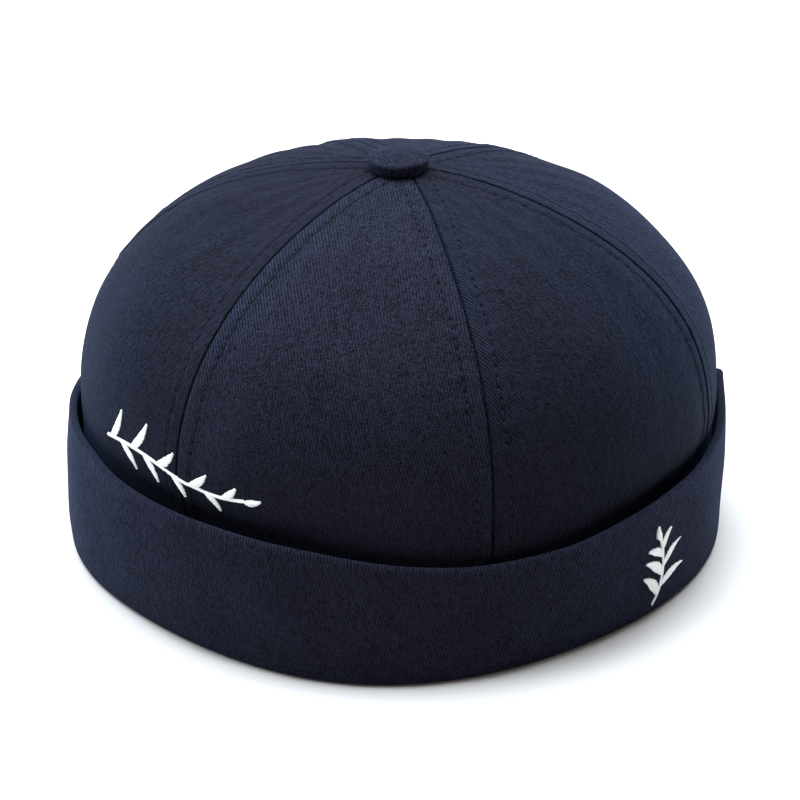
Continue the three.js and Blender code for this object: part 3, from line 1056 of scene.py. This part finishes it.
def thread_finish(name, colour, roughness, sheen):
    """Spun thread: its twist is a slanted wave round and along each stitch, with painted shade in its
    grooves.
    """
    n = Nodes(name)
    cloth = n.cloth()
    slant = n.math("MULTIPLY_ADD", n.part(cloth, "Y"), TWISTS, n.part(cloth, "X"))
    twist = n.math("SINE", n.math("MULTIPLY", slant, TAU))
    # painted shade: the twist's grooves are darkened a little
    depth = n.between(twist, -1.0, 0.2, 0.72, 1.0)
    bump = n.add("ShaderNodeBump", Strength=0.6, Distance=0.05 * MM, Height=twist)
    n.shade(Base_Color=n.mix(depth, darker(colour, 0.45), colour), Normal=bump)
    n.shade(Roughness=roughness, Sheen_Weight=sheen, Specular_IOR_Level=0.1)
    return n.material


navy_thread = thread_finish("navy thread", rgb(0.0075, 0.0078, 0.0150), 0.8, 0.0)
white_thread = thread_finish("white thread", rgb(0.90, 0.90, 0.90), 0.45, 0.1)
print("threads:", navy_thread.name, "and", white_thread.name)

# %% [markdown]
# ## Topstitching
# Two rows run beside each seam, one on either gore. A stitch bridges two needle holes: it lies
# on the cloth in the middle and sinks at both ends.

# %% Sew the rows
STITCH_LENGTH = 2.5 * MM
STITCH_RADIUS = 0.17 * MM
STITCH_SHAPE = np.array([-0.5, -0.4, 0.0, 0.4, 0.5])
STITCH_LIFT = np.array([-0.30, 0.02, 0.13, 0.02, -0.30]) * MM
ROW_STARTS_AT_HALF = 6.3 * MM
ROW_ENDS_ABOVE_EDGE = 9 * MM


def stitch_row(seam_number, side):
    """Centre lines and normals of one row: side 0 is on the gore after the seam, side 1 before it."""
    number = (seam_number - side) % 6
    along = (np.arange(int(MERIDIAN_LENGTH / STITCH_PITCH)) + 0.5) * STITCH_PITCH
    start, stop = gore_edges(number, along)
    half = crown_base((start + stop) / 2, along)[0] * (stop - start) / 2
    along = along[(half > ROW_STARTS_AT_HALF) & (along < MERIDIAN_LENGTH - ROW_ENDS_ABOVE_EDGE)]
    jitter = np.random.default_rng(100 + 2 * seam_number + side)
    slip = jitter.normal(0, 0.07 * MM, (len(along), 2))
    reach = along[:, None] + STITCH_SHAPE * STITCH_LENGTH * jitter.uniform(0.92, 1.06, (len(along), 1))
    lean = slip[:, :1] + (slip[:, 1:] - slip[:, :1]) * (STITCH_SHAPE + 0.5)
    offset = row_offset(reach, seam_number, side) + lean
    seam_turn = gore_edges(number, reach)[side]
    turn = seam_turn + (1 - 2 * side) * offset / crown_base(seam_turn, reach)[0]
    points, normals = crown_surface(number, turn, reach)
    return points + normals * STITCH_LIFT[None, :, None], normals


for seam_number in range(6):
    rows = [stitch_row(seam_number, side) for side in (0, 1)]
    lines, normals = (np.concatenate(parts) for parts in zip(*rows))
    name = f"topstitch_{seam_number + 1}"
    row = sweep_threads(name, lines, normals, STITCH_RADIUS, STITCH_RADIUS, navy_thread)
    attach(row, "root")
    print(row.name, "stitches:", len(lines))

# %% [markdown]
# ## Embroidered sprigs
# A small leafy sprig is worked in white satin stitch on the crown and another on the cuff. Each
# leaf is a fan of threads laid side by side across its width, and the stem is a cord of short
# slanted threads. Both are drawn on a flat patch in millimetres, and the patch is then laid on
# the cloth.

# %% Draw the sprigs
SATIN_PITCH = 0.44
SATIN_SHAPE = np.array([-0.5, -0.40, 0.0, 0.40, 0.5])
SATIN_LIFT = np.array([-0.25, 0.10, 0.34, 0.10, -0.25]) * MM


def satin(path, width, slant):
    """Threads across a path on the patch, with a thread, a point and two coordinates as axes.

    The path is a function of a share from 0 to 1. Each thread stands across it, leaning by
    slant degrees, and width gives its length at each share.
    """
    fine = np.linspace(0, 1, 400)
    length = np.append(0, np.cumsum(np.linalg.norm(np.diff(path(fine), axis=0), axis=1)))
    share = np.interp(np.arange(SATIN_PITCH / 2, length[-1], SATIN_PITCH), length, fine)
    heading = path(share + 1e-3) - path(share - 1e-3)
    angle = np.arctan2(heading[:, 1], heading[:, 0]) + np.radians(90 - slant)
    across = np.stack([np.cos(angle), np.sin(angle)], 1)
    uneven = 1 + np.random.default_rng(len(share)).normal(0, 0.07, len(share))
    spans = (width(share) * uneven)[:, None] * SATIN_SHAPE
    return path(share)[:, None] + across[:, None] * spans[..., None]


def leaf(base, heading, length, width, bend=0.12):
    """A leaf's threads: its rib bows sideways by bend, and its width swells and ends as a sine."""
    a = np.radians(heading)
    along, aside = np.array([np.cos(a), np.sin(a)]), np.array([-np.sin(a), np.cos(a)])

    def rib(share):
        share = np.asarray(share)[:, None]
        return np.array(base) + along * length * share + aside * bend * length * 4 * share * (1 - share)

    return satin(rib, lambda share: 0.45 + width * np.sin(np.pi * np.clip(share, 0, 1) ** 0.85), 12)


def sprig(stem, stem_width, leaves):
    """A stem and its leaves: each has a share along the stem, a heading, a length and a width."""
    threads = [satin(stem, lambda share: stem_width + 0 * share, 40)]
    for share, heading, length, width in leaves:
        base = stem(np.array([share]))[0]
        step = stem(np.array([share + 1e-3]))[0] - base
        course = np.degrees(np.arctan2(step[1], step[0]))
        start = base + step / np.linalg.norm(step) * 0.5
        threads.append(leaf(start, course + heading, length, width, np.copysign(0.10, -heading)))
    return np.concatenate(threads)


def crown_stem(share):
    """A long flat S, 57 mm wide."""
    share = np.asarray(share)
    return np.stack([-28.5 + 57 * share, 1.8 * np.sin(share * TAU * 0.9)], 1)


def cuff_stem(share):
    """A short upright bow, 22 mm tall."""
    share = np.asarray(share)
    return np.stack([2.4 * np.sin(np.pi * share) - 1, -11 + 22 * share], 1)


CROWN_LEAVES = [
    (0.03, 50, 11.5, 2.6), (0.13, -50, 9.5, 2.4), (0.23, 50, 11.5, 2.6), (0.33, -48, 9.0, 2.4),
    (0.44, 46, 9.0, 2.4), (0.55, -44, 7.5, 2.2), (0.66, 44, 8.0, 2.2), (0.76, -42, 7.0, 2.0),
    (0.86, 38, 6.5, 1.9), (0.985, 2, 5.5, 1.8),
]
CUFF_LEAVES = [
    (0.12, 60, 11.0, 2.9), (0.24, -60, 12.0, 3.0), (0.40, 57, 11.0, 2.8), (0.53, -57, 10.5, 2.7),
    (0.69, 50, 8.5, 2.4), (0.80, -48, 7.0, 2.1), (0.97, 0, 5.0, 1.9),
]
print("leaves:", len(CROWN_LEAVES), "and", len(CUFF_LEAVES))

# %% Lay the sprigs on the cloth
def on_crown(flat, turn, height):
    """Lay flat threads on the crown at a turn and a height: x goes round, y up its meridian."""
    centre = np.interp(-height, -MERIDIAN[3], MERIDIAN[0])
    along = centre - flat[..., 1] * MM
    around = turn + flat[..., 0] * MM / crown_base(turn, along)[0]
    points, normals = smooth_crown(around, along)
    before, after = (gore_relief(number, around, along, False) for number in (4, 5))
    relief = np.where(around > SEAM_START[5], after, before)
    return points + normals * (relief[..., None] + SATIN_LIFT[:, None]), normals


def on_cuff(flat, turn, height):
    """Lay flat threads on the cuff's outer face, centred at a turn and a height."""
    level = height + flat[..., 1] * MM
    around = turn + flat[..., 0] * MM / MEAN_RADIUS
    high = rim_height(around) - CUFF_WALL / 2
    share = (level - FOLD_ROUND) / (high - FOLD_ROUND)
    radius = outer_leg(around, share)[0] + HALF_BAND + cuff_waves(around, level) + ease(around, level)
    step = 0.2 * MM
    above = outer_leg(around, share + step / (high - FOLD_ROUND))[0]
    rise = (above - outer_leg(around, share)[0]) / step
    normals = unit(cylindrical(around, np.ones_like(rise), -rise))
    return cylindrical(around, radius, level) + normals * SATIN_LIFT[:, None], normals


SATIN_HALF_WIDTH = 0.23 * MM
SATIN_HALF_HEIGHT = 0.16 * MM
STEM_WIDTH = 1.3
CROWN_PLACE = (np.radians(-60.5), 50 * MM)
CUFF_PLACE = (np.radians(34.6), 15 * MM)
crown_threads = on_crown(sprig(crown_stem, STEM_WIDTH, CROWN_LEAVES), *CROWN_PLACE)
cuff_threads = on_cuff(sprig(cuff_stem, STEM_WIDTH, CUFF_LEAVES), *CUFF_PLACE)
for name, (lines, normals) in (("crown_sprig", crown_threads), ("cuff_sprig", cuff_threads)):
    motif = sweep_threads(name, lines, normals, SATIN_HALF_WIDTH, SATIN_HALF_HEIGHT, white_thread)
    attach(motif, "root")
    print(name, "threads:", len(lines))

# %% [markdown]
# ## Studio
# The cap stands on a wide pale floor. A broad light from almost overhead, a little behind, makes
# the top of the crown glow and leaves the front in soft shade. A weaker one from behind at the
# left and a faint one at the right draw the edges, and an even, slightly warm sky fills the rest.

# %% The floor
FLOOR_RADIUS = 12.0
FLOOR_DROP = 0.05 * MM
FLOOR_COLUMNS = 96


def make_floor():
    """A wide round sheet under the cap: rings of a growing radius, closed at the middle."""
    turn = np.arange(FLOOR_COLUMNS) / FLOOR_COLUMNS * TAU
    radius = FLOOR_RADIUS * np.array([0.002, 0.02, 0.2, 1.0])[:, None]
    points = cylindrical(turn[None, :], radius, -FLOOR_DROP + 0 * radius).reshape(-1, 3)
    i, j = grid_corners(len(radius), FLOOR_COLUMNS, True)
    faces = i * FLOOR_COLUMNS + j % FLOOR_COLUMNS
    fan = np.insert(fan_corners(FLOOR_COLUMNS), 3, len(points), axis=1)
    return make_piece("floor", np.vstack([points, [[0, 0, -FLOOR_DROP]]]), np.concatenate([faces, fan]))


def floor_finish():
    """Matt pale card, with a painted shadow round the cap, a little darker and cooler there, and the
    faintest mottle.
    """
    n = Nodes("pale card")
    place = n.place()
    reach = n.add("ShaderNodeVectorMath", out=1, settings={"operation": "LENGTH"}, i0=place)
    # painted shadow: darker, cooler card within 0.10 m of the middle, passing into the plain card by
    # 0.19 m
    card = n.mix(n.between(reach, 0.10, 0.19), rgb(0.465, 0.44, 0.452), rgb(0.52, 0.465, 0.455))
    card = n.mix(n.noise(place, 3.0), card, rgb(0.51, 0.47, 0.46))
    n.shade(Base_Color=card, Roughness=0.95, Specular_IOR_Level=0.1)
    return n.material


floor = make_floor()
floor.data.materials.append(floor_finish())
print("floor faces:", len(floor.data.polygons))

# %% Lights and sky
SUN_SPREAD = 60.0
SKY_STRENGTH = 0.36
LIGHTS = [
    # name, azimuth, elevation, strength, colour
    ("key light", 240.0, 48.0, 3.55, (0.80, 0.93, 1.0)),
    ("counter light", 125.0, 52.0, 0.6, (0.80, 0.93, 1.0)),
    ("top light", 175.0, 72.5, 9.6, (0.82, 0.94, 1.0)),
]


def add_sun(name, azimuth, elevation, strength, colour):
    """A far light from a direction, whose spread in degrees softens its shadows."""
    data = bpy.data.lights.new(name, "SUN")
    data.energy, data.angle, data.color = strength, np.radians(SUN_SPREAD), colour
    light = bpy.data.objects.new(name, data)
    light.rotation_euler = direction(azimuth, elevation).to_track_quat("Z", "Y").to_euler()
    bpy.context.scene.collection.objects.link(light)


for row in LIGHTS:
    add_sun(*row)
world = bpy.data.worlds.new("studio")
bpy.context.scene.world = world
world.use_nodes = True
sky = world.node_tree.nodes["Background"]
sky.inputs["Color"].default_value = rgb(1.0, 0.95, 0.88)
sky.inputs["Strength"].default_value = SKY_STRENGTH
bpy.context.scene.view_settings.view_transform = "Standard"
print("lights:", [row[0] for row in LIGHTS])

# %% [markdown]
